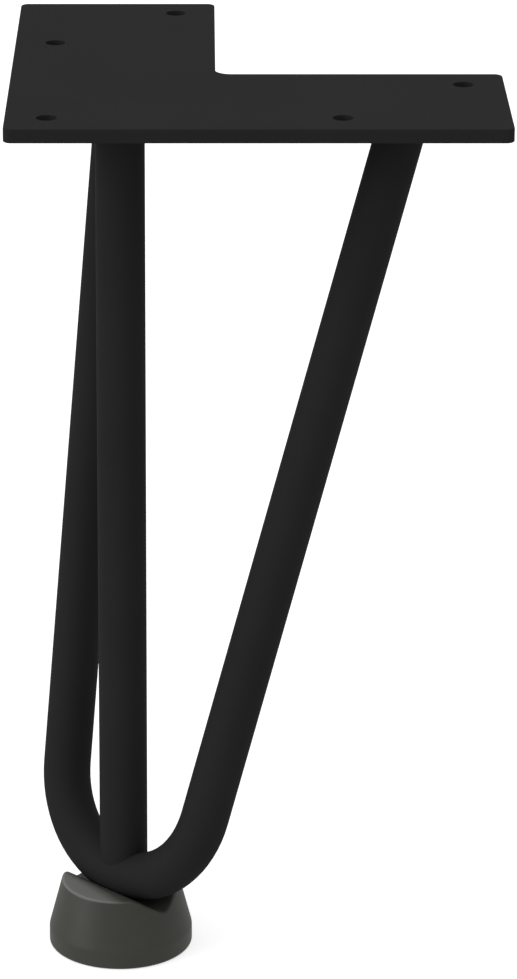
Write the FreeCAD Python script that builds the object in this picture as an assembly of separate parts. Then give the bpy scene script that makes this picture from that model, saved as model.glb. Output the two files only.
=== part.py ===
"""Hairpin table leg: an L-shaped plate, a bent rod, a straight rod and a foot under the bend.

The origin is on the plate's top face, on the straight rod's axis. +X runs along one arm of the
plate, +Y along the other, and +Z points up, towards the table top. All sizes are in millimetres.
"""

import FreeCAD
import Part
import math
import os

# Plate
plate_length = 120.0         # outer length of each arm
arm_width = 50.0
plate_thickness = 3.5
corner_radius = 2.0          # the five outer corners
inner_corner_radius = 4.0    # the corner between the arms
plate_edge_round = 0.3       # the rim, top and bottom

# Screw holes, measured from the plate's edges
hole_diameter = 5.0
corner_hole_edge = 10.0      # the corner hole, from both outer edges
side_hole_edge = 10.0        # the side holes, from the outer edge they stand beside
side_hole_end = 40.0         # the side holes, from the end of their arm
tip_hole_end = 10.0          # the tip holes, from the end of their arm
tip_hole_inner = 10.0        # the tip holes, from their arm's inner edge

# Rods
rod_diameter = 12.0
rod_inset = 27.0             # each axis from the outer edge it stands beside, at the plate's top
rod_end = 23.5               # the bent rod's ends, from the end of their arm, at the plate's top
leg_height = 208.0           # from the plate's top down to the underside of the bend
bend_radius = 25.0           # centre line
bend_offset = 0.8            # the bend's middle stands this much nearer to both outer edges
cope_height = 1.5            # the straight rod stops this far above the bend's centre line

# Welds under the plate
weld_leg = 3.0

# Foot
glide_diameter = 36.0
glide_top_diameter = 29.5
glide_skirt = 4.5            # height of the upright part of its side
glide_floor = 12.5           # under the rod
glide_depth = 4.5            # how deep the rod lies in it
glide_skirt_round = 3.0      # where the upright side turns into the taper
glide_top_round = 0.8
glide_base_round = 0.8
groove_width = 14.0          # the V-shaped groove across it, at its top
groove_slope = 35.5          # each side of the groove, in degrees from level
groove_bottom_round = 2.5
groove_lip_round = 5.0       # where the groove's sides turn into the top face
groove_clearance = 0.1       # around the rod, whose form is cut into the groove

# Values that follow
rod_radius = rod_diameter / 2
underside = -plate_thickness
low = -rod_inset
high = plate_length - rod_inset
notch = arm_width - rod_inset
leg_spread = high - rod_end  # from the straight rod to each end of the bent rod
bend_z = -(leg_height - rod_radius)
glide_top_z = -(leg_height - glide_depth)
glide_base_z = -(leg_height + glide_floor)
overlap = 2 * rod_diameter   # how far a cutting stock runs past what it cuts

Z = FreeCAD.Vector(0, 0, 1)


def point(x, y, z):
    return FreeCAD.Vector(x, y, z)


def upright_edges(solid, x, y):
    """The solid's upright edges at one corner of the plate."""
    found = []
    for edge in solid.Edges:
        ends = [v.Point for v in edge.Vertexes]
        if all(abs(p.x - x) < 1e-6 and abs(p.y - y) < 1e-6 for p in ends):
            found.append(edge)
    return found


def rim_edges(solid, z):
    """The outer edges of the solid's flat face at one height."""
    for face in solid.Faces:
        box = face.BoundBox
        if abs(box.ZMin - z) < 1e-6 and abs(box.ZMax - z) < 1e-6:
            return face.OuterWire.Edges
    raise ValueError("no flat face at this height")


def make_plate():
    outer = [(low, low), (high, low), (high, notch), (low, high), (notch, high)]
    outline = [(low, low), (high, low), (high, notch), (notch, notch), (notch, high), (low, high)]
    corners = [point(x, y, underside) for x, y in outline]
    profile = Part.Face(Part.makePolygon(corners + corners[:1]))
    plate = profile.extrude(Z * plate_thickness)
    rounded = []
    for x, y in outer:
        rounded += upright_edges(plate, x, y)
    plate = plate.makeFillet(corner_radius, rounded)
    plate = plate.makeFillet(inner_corner_radius, upright_edges(plate, notch, notch))
    plate = plate.makeFillet(plate_edge_round, rim_edges(plate, 0) + rim_edges(plate, underside))
    for x, y in hole_places():
        base = point(x, y, underside - overlap)
        plate = plate.cut(Part.makeCylinder(hole_diameter / 2, plate_thickness + 2 * overlap, base))
    return plate


def hole_places():
    """The centres of the five screw holes."""
    corner = low + corner_hole_edge
    side = low + side_hole_edge
    along = high - side_hole_end
    tip = high - tip_hole_end
    inner = notch - tip_hole_inner
    return [(corner, corner), (along, side), (side, along), (tip, inner), (inner, tip)]


class Hairpin:
    """The bent rod's centre line: leg, arc, leg, in one plane that leans towards the corner."""

    def __init__(self):
        self.front = point(leg_spread, 0, 0)
        self.rear = point(0, leg_spread, 0)
        self.bottom = point(-bend_offset, -bend_offset, bend_z)
        middle = (self.front + self.rear) * 0.5
        self.across = (self.front - self.rear).normalize()
        half = (self.front - self.rear).Length / 2
        self.down = (self.bottom - middle).normalize()
        reach = (self.bottom - middle).Length
        self.centre = middle + self.down * (reach - bend_radius)
        # Each leg is tangent to the bend's circle
        drop = reach - bend_radius
        span = math.hypot(half, drop)
        run = math.sqrt(span ** 2 - bend_radius ** 2)
        self.lean = math.atan2(half, drop) - math.asin(bend_radius / span)
        step = self.down * math.cos(self.lean)
        self.front_way = step - self.across * math.sin(self.lean)
        self.rear_way = step + self.across * math.sin(self.lean)
        self.front_tangent = self.front + self.front_way * run
        self.rear_tangent = self.rear + self.rear_way * run

    def wire(self):
        top = self.front - self.front_way * overlap
        end = self.rear - self.rear_way * overlap
        first = Part.LineSegment(top, self.front_tangent).toShape()
        arc = Part.Arc(self.front_tangent, self.bottom, self.rear_tangent).toShape()
        last = Part.LineSegment(self.rear_tangent, end).toShape()
        return Part.Wire([first, arc, last])


def below_plate(solid):
    """Keeps what lies under the plate."""
    size = 4 * (plate_length + leg_height)
    stock = Part.makeBox(size, size, size, point(-size / 2, -size / 2, underside - size))
    return solid.common(stock)


def bent_rod(line, radius):
    """A rod of this radius along the bent rod's centre line."""
    start = line.front - line.front_way * overlap
    section = Part.Wire(Part.makeCircle(radius, start, line.front_way))
    return line.wire().makePipeShell([section], True, False)


def make_hairpin(line):
    return below_plate(bent_rod(line, rod_radius))


def make_straight(hairpin):
    end = bend_z + cope_height
    rod = Part.makeCylinder(rod_radius, underside - end, point(0, 0, end))
    return rod.cut(hairpin)


def make_weld(top, way):
    """A fillet round a rod that leaves the plate at top and runs along way."""
    foot = top + way * ((underside - top.z) / way.z)
    stock = Part.makeCone(
        rod_radius + 2 * weld_leg,
        rod_radius,
        2 * weld_leg,
        foot - way * weld_leg,
        way,
    )
    core = Part.makeCylinder(rod_radius, 4 * weld_leg, foot - way * 2 * weld_leg, way)
    return below_plate(stock.cut(core))


def make_groove(line):
    """The stock that cuts the foot's groove: a long V with a round bottom, under the bend."""
    half = groove_width / 2
    slope = math.tan(math.radians(groove_slope))
    apex = point(line.bottom.x, line.bottom.y, glide_top_z - half * slope)
    side = Z.cross(line.across) * (half + rod_diameter)
    rise = Z * ((half + rod_diameter) * slope)
    corners = [apex, apex + side + rise, apex - side + rise]
    profile = Part.Face(Part.makePolygon(corners + corners[:1]))
    profile.translate(-line.across * glide_diameter)
    stock = profile.extrude(line.across * (2 * glide_diameter))
    lowest = [e for e in stock.Edges if abs(e.BoundBox.ZMax - apex.z) < 1e-6]
    return stock.makeFillet(groove_bottom_round, lowest)


def make_glide(line):
    """The foot: a turned body with a V-shaped groove across it, formed to the rod."""
    x = line.bottom.x
    y = line.bottom.y
    wide = glide_diameter / 2
    narrow = glide_top_diameter / 2
    skirt_z = glide_base_z + glide_skirt
    outline = [
        point(x, y, glide_base_z),
        point(x + wide, y, glide_base_z),
        point(x + wide, y, skirt_z),
        point(x + narrow, y, glide_top_z),
        point(x, y, glide_top_z),
    ]
    profile = Part.Face(Part.makePolygon(outline + outline[:1]))
    body = profile.revolve(point(x, y, 0), Z, 360)
    for z, radius in [(skirt_z, glide_skirt_round), (glide_base_z, glide_base_round)]:
        body = body.makeFillet(radius, flat_edges(body, z, Part.Circle))
    body = body.cut(make_groove(line))
    body = body.makeFillet(groove_lip_round, flat_edges(body, glide_top_z, Part.Line))
    body = body.makeFillet(glide_top_round, flat_edges(body, glide_top_z, Part.Circle))
    return body.cut(bent_rod(line, rod_radius + groove_clearance))


def flat_edges(solid, z, kind):
    """The solid's edges of one kind, round or straight, that lie flat at one height."""
    found = []
    for edge in solid.Edges:
        box = edge.BoundBox
        if isinstance(edge.Curve, kind) and abs(box.ZMin - z) < 1e-6 and abs(box.ZMax - z) < 1e-6:
            found.append(edge)
    return found


def export(name, shape):
    solids = shape.Solids
    if len(solids) != 1 or not shape.isValid():
        raise ValueError(name + " isn't one valid solid")
    print(name, "volume %.1f mm3" % solids[0].Volume)
    solids[0].exportStep("parts/" + name + ".step")


def main():
    os.makedirs("parts", exist_ok=True)
    line = Hairpin()
    hairpin = make_hairpin(line)
    export("mounting_plate", make_plate())
    export("hairpin_rod", hairpin)
    export("straight_rod", make_straight(hairpin))
    export("weld_corner", make_weld(point(0, 0, 0), -Z))
    export("weld_front", make_weld(line.front, line.front_way))
    export("weld_rear", make_weld(line.rear, line.rear_way))
    export("floor_glide", make_glide(line))


main()
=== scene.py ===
"""Looks of the hairpin table leg: powder-coated steel, a rubber foot and plain studio light.

Lengths are in metres, in the frame of the CAD model: the origin is on the plate's top face, on
the straight rod's axis, +X runs along one arm of the plate, +Y along the other and +Z points up.
"""

import bmesh
import bpy
import math
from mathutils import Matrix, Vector


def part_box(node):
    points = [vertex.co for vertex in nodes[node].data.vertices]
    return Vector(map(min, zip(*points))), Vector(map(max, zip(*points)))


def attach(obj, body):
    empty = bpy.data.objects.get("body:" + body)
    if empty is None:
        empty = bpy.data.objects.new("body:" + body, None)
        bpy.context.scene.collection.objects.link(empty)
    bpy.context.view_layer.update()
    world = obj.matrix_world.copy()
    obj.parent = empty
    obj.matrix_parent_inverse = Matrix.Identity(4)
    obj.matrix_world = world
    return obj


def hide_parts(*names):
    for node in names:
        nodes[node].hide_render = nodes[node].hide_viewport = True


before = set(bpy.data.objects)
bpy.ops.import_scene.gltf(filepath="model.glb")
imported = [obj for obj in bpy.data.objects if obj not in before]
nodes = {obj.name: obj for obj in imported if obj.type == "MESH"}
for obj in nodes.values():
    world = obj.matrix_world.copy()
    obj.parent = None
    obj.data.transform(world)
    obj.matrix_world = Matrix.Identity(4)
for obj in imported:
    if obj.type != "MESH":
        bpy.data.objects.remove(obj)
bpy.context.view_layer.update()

MM = 0.001
UP = Vector((0, 0, 1))
WHITE = (1.0, 1.0, 1.0, 1.0)

# Sizes shared with the CAD model
ROD_RADIUS = 6.0 * MM
LEG_SPREAD = 69.5 * MM           # from the straight rod to each end of the bent rod
BEND_OFFSET = 0.8 * MM           # the bend's middle stands this much nearer to both outer edges
BEND_RADIUS = 25.0 * MM          # centre line
WELD_LEG = 3.0 * MM
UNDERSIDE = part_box("mounting_plate")[0].z
BEND_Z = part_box("hairpin_rod")[0].z + ROD_RADIUS
GLIDE_LOW, GLIDE_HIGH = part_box("floor_glide")

# Noise: its scale is in waves to the metre, and nearly all of it lies in this range
NOISE_RANGE = (0.3, 0.7)
FULL_RANGE = (0.0, 1.0)

# Powder coat
COAT_COLOURS = (0.0245, 0.0245, 0.0247), (0.0270, 0.0270, 0.0270)
COAT_ROUGHNESS = (0.6, 0.72)
COAT_SPECULAR = 0.03
COAT_PATCHES = {"scale": 28.0, "detail": 3.0}
COAT_GRAINS = {"scale": 2600.0, "detail": 1.0}
COAT_PEEL = {"scale": 900.0, "detail": 2.0, "roughness": 0.45}
COAT_SWELL = {"scale": 210.0, "detail": 1.0}
COAT_PEEL_BUMP = {"Strength": 0.45, "Distance": 0.03 * MM}
COAT_SWELL_BUMP = {"Strength": 0.35, "Distance": 0.06 * MM}

# Rubber
RUBBER_SIDE = (0.0440, 0.0440, 0.0355), (0.0500, 0.0500, 0.0405)
# The top face's colour, about four times as pale as the side: painted light from above
RUBBER_TOP_PAINTED_LIGHT = (0.195, 0.195, 0.184), (0.223, 0.223, 0.210)
RUBBER_ROUGHNESS = (0.4, 0.5)
RUBBER_SPECULAR = 0.5
RUBBER_CLOUDS = {"scale": 90.0, "detail": 3.0}
RUBBER_PITS = {"scale": 3200.0, "detail": 2.0}
RUBBER_PIT_BUMP = {"Strength": 0.4, "Distance": 0.02 * MM}
TOP_LIGHT_FROM = 0.50 * MM             # the painted top light starts this far under the top face
TOP_LIGHT_FULL = 0.10 * MM             # and is whole from here up
GROOVE_SHADE_FROM = 10.6 * MM            # painted shade beside the groove starts this far from the groove's middle
GROOVE_SHADE_FULL = 7.6 * MM             # and is whole from here inwards
GROOVE_SHADE_LEFT = 0.12                 # leaving this share of the painted top light
GROOVE_SHADE_WAY = (0.82, 0.594, 0.0)    # measured this way, 9 degrees off square to the groove

# Floor
FLOOR_HALF = 12.0
FLOOR_COLOURS = (0.86, 0.86, 0.86), (0.88, 0.88, 0.88)
FLOOR_ROUGHNESS = 0.9
FLOOR_GLOW = 0.6
FLOOR_CLOUDS = {"scale": 2.0, "detail": 2.0}

# Weld beads
BEAD_SECTIONS = 432              # around the rod
BEAD_STEPS = 10                  # across a section's crown
BEAD_SUNK = 0.2 * MM             # how far its edges go into the rod and the plate
BEAD_LEG = 0.90                  # mean leg, as a share of the CAD model's weld
BEAD_WAVER = 0.5                 # how much of the wander goes into the leg
BEAD_SWAY = (0.10, 3)            # the wander's long waves: size and number
BEAD_SHAKE = (0.05, 7)           # its short waves
BEAD_CROWN = 0.28 * MM           # height of the crown's middle in the valleys between the ripples
BEAD_RIPPLE = 0.17 * MM          # height of the ripples over that
BEAD_FULLNESS = 0.7              # the crown's power: the lower, the fuller
RIPPLES = 34                     # around the rod
RIPPLE_RISE = 0.75               # the share of each ripple that rises, slowly, before it falls
RIPPLE_CURVE = 0.55              # how far a ripple's ends bend back from its middle, in ripples
RIPPLE_DRIFT = 0.25              # how much of the wander goes into the ripples' places
CORNER_PHASE, FRONT_PHASE, REAR_PHASE = 0.4, 1.7, 3.1  # so that no two beads are alike

# Light: strength, width in degrees and the way it shines
OVERHEAD_LIGHT = (0.50, 80, (0.0, 0.0, -1.0))
LEFT_LIGHT = (0.80, 40, (0.87, 0.32, -0.37))
SURROUND_LIGHT = 0.49

# Camera
LENS = 166.838
SENSOR_WIDTH = 36.0
SHIFT_X = 0.06031
SHIFT_Y = -0.25
CLIP_NEAR = 0.05
CLIP_FAR = 50.0
CAMERA_PLACE = (0.019107, -1.048064, 0.287807)
CAMERA_TILT = 0.300170           # down from level, in radians


# Materials

def new_material(name):
    """A material, its shader, a function that links and one that adds a node with its settings."""
    material = bpy.data.materials.new(name)
    material.use_nodes = True
    tree = material.node_tree
    shader = tree.nodes["Principled BSDF"]

    def add(kind, inputs=None, **settings):
        node = tree.nodes.new(kind)
        for key, value in settings.items():
            setattr(node, key, value)
        for key, value in (inputs or {}).items():
            if isinstance(value, bpy.types.NodeSocket):
                tree.links.new(value, node.inputs[key])
            else:
                node.inputs[key].default_value = value
        return node

    return material, shader, tree.links.new, add


def noise(add, where, scale, detail, roughness=0.5):
    """Noise with this many waves to the metre, from 0 to 1."""
    node = add(
        "ShaderNodeTexNoise",
        {"Vector": where, "Scale": scale, "Detail": detail, "Roughness": roughness},
        noise_dimensions="3D",
    )
    return node.outputs["Fac"]


def spread(add, value, source, target):
    """The value, stretched from one range to another and kept in it."""
    node = add(
        "ShaderNodeMapRange",
        {
            "Value": value,
            "From Min": source[0],
            "From Max": source[1],
            "To Min": target[0],
            "To Max": target[1],
        },
    )
    return node.outputs["Result"]


def between(add, factor, first, second):
    """A colour between two colours, or between two nodes' colours."""
    node = add("ShaderNodeMix", data_type="RGBA")
    sockets = [s for s in node.inputs if s.type == "RGBA"]
    for socket, colour in zip(sockets, (first, second)):
        if isinstance(colour, bpy.types.NodeSocket):
            node.id_data.links.new(colour, socket)
        else:
            socket.default_value = (*colour, 1.0)
    node.id_data.links.new(factor, node.inputs[0])
    return [s for s in node.outputs if s.type == "RGBA"][0]


def powder_coat():
    """Black powder coat: matt, with a fine orange peel and a faint unevenness in its tone."""
    material, shader, link, add = new_material("black_powder_coat")
    where = add("ShaderNodeTexCoord").outputs["Object"]
    patches = noise(add, where, **COAT_PATCHES)
    grains = noise(add, where, **COAT_GRAINS)
    peel = noise(add, where, **COAT_PEEL)
    swell = noise(add, where, **COAT_SWELL)
    patch = spread(add, patches, NOISE_RANGE, FULL_RANGE)
    link(between(add, patch, *COAT_COLOURS), shader.inputs["Base Color"])
    link(spread(add, grains, NOISE_RANGE, COAT_ROUGHNESS), shader.inputs["Roughness"])
    shader.inputs["Specular IOR Level"].default_value = COAT_SPECULAR
    broad = add("ShaderNodeBump", {"Height": swell, **COAT_SWELL_BUMP})
    fine = add("ShaderNodeBump", {"Height": peel, "Normal": broad.outputs[0], **COAT_PEEL_BUMP})
    link(fine.outputs[0], shader.inputs["Normal"])
    return material


def painted_top_light(add, where):
    """How much painted light the rubber's colour holds: 1 on the top face, less beside the groove
    where painted shade dims it, and 0 on the side.
    """
    height = add("ShaderNodeSeparateXYZ", {"Vector": where}).outputs["Z"]
    rise = (GLIDE_HIGH.z - TOP_LIGHT_FROM, GLIDE_HIGH.z - TOP_LIGHT_FULL)
    on_top = spread(add, height, rise, FULL_RANGE)
    from_axis = add("ShaderNodeVectorMath", {0: where, 1: (BEND_OFFSET, BEND_OFFSET, 0.0)})
    across = add("ShaderNodeVectorMath", {0: from_axis.outputs[0]}, operation="DOT_PRODUCT")
    across.inputs[1].default_value = GROOVE_SHADE_WAY
    aside = add("ShaderNodeMath", {0: across.outputs["Value"]}, operation="ABSOLUTE").outputs[0]
    # Painted shade beside the groove: the painted top light dims nearer the groove's middle
    off_groove = spread(add, aside, (GROOVE_SHADE_FULL, GROOVE_SHADE_FROM), (GROOVE_SHADE_LEFT, 1.0))
    return add("ShaderNodeMath", {0: on_top, 1: off_groove}, operation="MULTIPLY").outputs[0]


def rubber():
    """Dark warm grey rubber: matt, pitted and clouded, with painted light on its top face and
    painted shade beside the groove.
    """
    material, shader, link, add = new_material("grey_rubber")
    where = add("ShaderNodeTexCoord").outputs["Object"]
    clouds = noise(add, where, **RUBBER_CLOUDS)
    pits = noise(add, where, **RUBBER_PITS)
    cloud = spread(add, clouds, NOISE_RANGE, FULL_RANGE)
    side = between(add, cloud, *RUBBER_SIDE)
    top = between(add, cloud, *RUBBER_TOP_PAINTED_LIGHT)
    # The side's colour is the rubber's own; the top's paler colour is painted light from above,
    # dimmed by painted shade beside the groove
    link(between(add, painted_top_light(add, where), side, top), shader.inputs["Base Color"])
    link(spread(add, pits, NOISE_RANGE, RUBBER_ROUGHNESS), shader.inputs["Roughness"])
    shader.inputs["Specular IOR Level"].default_value = RUBBER_SPECULAR
    skin = add("ShaderNodeBump", {"Height": pits, **RUBBER_PIT_BUMP})
    link(skin.outputs[0], shader.inputs["Normal"])
    return material


def floor_paint():
    """Pale matt floor with a barely visible unevenness."""
    material, shader, link, add = new_material("floor_paint")
    where = add("ShaderNodeTexCoord").outputs["Object"]
    clouds = noise(add, where, **FLOOR_CLOUDS)
    link(between(add, clouds, *FLOOR_COLOURS), shader.inputs["Base Color"])
    shader.inputs["Roughness"].default_value = FLOOR_ROUGHNESS
    shader.inputs["Specular IOR Level"].default_value = 0.0
    shader.inputs["Emission Color"].default_value = WHITE
    shader.inputs["Emission Strength"].default_value = FLOOR_GLOW
    return material


def paint(objects, material):
    for item in objects:
        if item.material_slots:
            for place in item.material_slots:
                place.material = material
        else:
            item.data.materials.append(material)


# Weld beads

def hairpin_ways():
    """The directions in which the bent rod's two legs leave the plate, front first."""
    front = Vector((LEG_SPREAD, 0, 0))
    rear = Vector((0, LEG_SPREAD, 0))
    bottom = Vector((-BEND_OFFSET, -BEND_OFFSET, BEND_Z))
    across = (front - rear).normalized()
    middle = (front + rear) / 2
    down = (bottom - middle).normalized()
    half = (front - rear).length / 2
    drop = (bottom - middle).length - BEND_RADIUS
    lean = math.atan2(half, drop) - math.asin(BEND_RADIUS / math.hypot(half, drop))
    step = down * math.cos(lean)
    return step - across * math.sin(lean), step + across * math.sin(lean)


def waves(shape, turn, phase):
    """Waves of this size and number round the rod."""
    size, number = shape
    return size * math.sin(number * turn + phase)


def bead_section(foot, way, out, turn, phase):
    """The points round a bead's section on the side of the rod that out points to."""
    corner = foot + out * ROD_RADIUS
    corner += way * ((UNDERSIDE - corner.z) / way.z)
    flat = Vector((out.x, out.y, 0)).normalized()
    wander = waves(BEAD_SWAY, turn, phase) + waves(BEAD_SHAKE, turn, 2 * phase)
    leg = WELD_LEG * (BEAD_LEG + BEAD_WAVER * wander)
    on_rod = corner + way * leg
    on_plate = corner + flat * leg
    normal = (on_rod - corner).normalized() + (on_plate - corner).normalized()
    normal.normalize()
    points = [on_rod - out * BEAD_SUNK]
    for step in range(BEAD_STEPS + 1):
        s = step / BEAD_STEPS
        crown = math.sin(math.pi * s) ** BEAD_FULLNESS
        beat = RIPPLES * turn / math.tau + RIPPLE_CURVE * (2 * s - 1) ** 2 + RIPPLE_DRIFT * wander
        beat -= math.floor(beat)
        ripple = min(beat / RIPPLE_RISE, (1 - beat) / (1 - RIPPLE_RISE))
        height = crown * (BEAD_CROWN + BEAD_RIPPLE * ripple)
        points.append(on_rod.lerp(on_plate, s) + normal * height)
    points.append(on_plate + UP * BEAD_SUNK)
    points.append(corner - out * BEAD_SUNK + UP * BEAD_SUNK)
    return points


def weld_bead(name, node, top, way, phase):
    """A rippled bead round a rod that leaves the plate at top and runs along way."""
    side = way.cross(Vector((0, 1, 0))).normalized()
    other = way.cross(side)
    foot = top + way * ((UNDERSIDE - top.z) / way.z)
    bm = bmesh.new()
    rings = []
    for i in range(BEAD_SECTIONS):
        turn = math.tau * i / BEAD_SECTIONS
        out = side * math.cos(turn) + other * math.sin(turn)
        rings.append([bm.verts.new(p) for p in bead_section(foot, way, out, turn, phase)])
    for first, second in zip(rings, rings[1:] + rings[:1]):
        for j in range(len(first)):
            k = (j + 1) % len(first)
            bm.faces.new((first[j], second[j], second[k], first[k]))
    bmesh.ops.recalc_face_normals(bm, faces=bm.faces)
    mesh = bpy.data.meshes.new(name)
    bm.to_mesh(mesh)
    bm.free()
    for polygon in mesh.polygons:
        polygon.use_smooth = True
    piece = bpy.data.objects.new(name, mesh)
    bpy.context.scene.collection.objects.link(piece)
    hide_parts(node)
    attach(piece, "root")
    return piece


# Studio

def lay_floor():
    """A plain pale floor under the foot."""
    far = FLOOR_HALF
    z = GLIDE_LOW.z
    mesh = bpy.data.meshes.new("floor")
    corners = [(-far, -far, z), (far, -far, z), (far, far, z), (-far, far, z)]
    mesh.from_pydata(corners, [], [(0, 1, 2, 3)])
    floor = bpy.data.objects.new("floor", mesh)
    floor.data.materials.append(floor_paint())
    bpy.context.scene.collection.objects.link(floor)
    # The floor shows its own tone and shadows, and throws no light back on the leg
    floor.visible_diffuse = False
    floor.visible_glossy = False


def soft_light(name, strength, width, way):
    """A wide, far light that shines along way."""
    sun = bpy.data.lights.new(name, "SUN")
    sun.energy = strength
    sun.angle = math.radians(width)
    lamp = bpy.data.objects.new(name, sun)
    lamp.rotation_euler = Vector(way).to_track_quat("-Z", "Y").to_euler()
    bpy.context.scene.collection.objects.link(lamp)


def surround():
    """An even pale surround, white where the camera sees it."""
    world = bpy.data.worlds.new("surround")
    world.use_nodes = True
    tree = world.node_tree
    tree.nodes.clear()
    light = tree.nodes.new("ShaderNodeBackground")
    light.inputs["Color"].default_value = WHITE
    light.inputs["Strength"].default_value = SURROUND_LIGHT
    white = tree.nodes.new("ShaderNodeBackground")
    white.inputs["Color"].default_value = WHITE
    ray = tree.nodes.new("ShaderNodeLightPath")
    mix = tree.nodes.new("ShaderNodeMixShader")
    out = tree.nodes.new("ShaderNodeOutputWorld")
    tree.links.new(ray.outputs["Is Camera Ray"], mix.inputs[0])
    tree.links.new(light.outputs[0], mix.inputs[1])
    tree.links.new(white.outputs[0], mix.inputs[2])
    tree.links.new(mix.outputs[0], out.inputs["Surface"])
    bpy.context.scene.world = world


def camera():
    """A long lens from in front and a little above, with the shift that frames the leg."""
    data = bpy.data.cameras.new("camera")
    data.sensor_width = SENSOR_WIDTH
    data.sensor_fit = "AUTO"
    data.lens = LENS
    data.shift_x = SHIFT_X
    data.shift_y = SHIFT_Y
    data.clip_start = CLIP_NEAR
    data.clip_end = CLIP_FAR
    view = bpy.data.objects.new("camera", data)
    view.location = CAMERA_PLACE
    view.rotation_euler = (math.pi / 2 - CAMERA_TILT, 0.0, 0.0)
    bpy.context.scene.collection.objects.link(view)
    bpy.context.scene.camera = view


steel = powder_coat()
straight_top = Vector((0, 0, 0))
front_top = Vector((LEG_SPREAD, 0, 0))
rear_top = Vector((0, LEG_SPREAD, 0))
front_way, rear_way = hairpin_ways()
beads = [
    weld_bead("weld_bead_corner", "weld_corner", straight_top, -UP, CORNER_PHASE),
    weld_bead("weld_bead_front", "weld_front", front_top, front_way, FRONT_PHASE),
    weld_bead("weld_bead_rear", "weld_rear", rear_top, rear_way, REAR_PHASE),
]
paint([nodes["mounting_plate"], nodes["hairpin_rod"], nodes["straight_rod"], *beads], steel)
paint([nodes["floor_glide"]], rubber())
lay_floor()
soft_light("overhead", *OVERHEAD_LIGHT)
soft_light("left", *LEFT_LIGHT)
surround()
bpy.context.scene.view_settings.view_transform = "Standard"
camera()
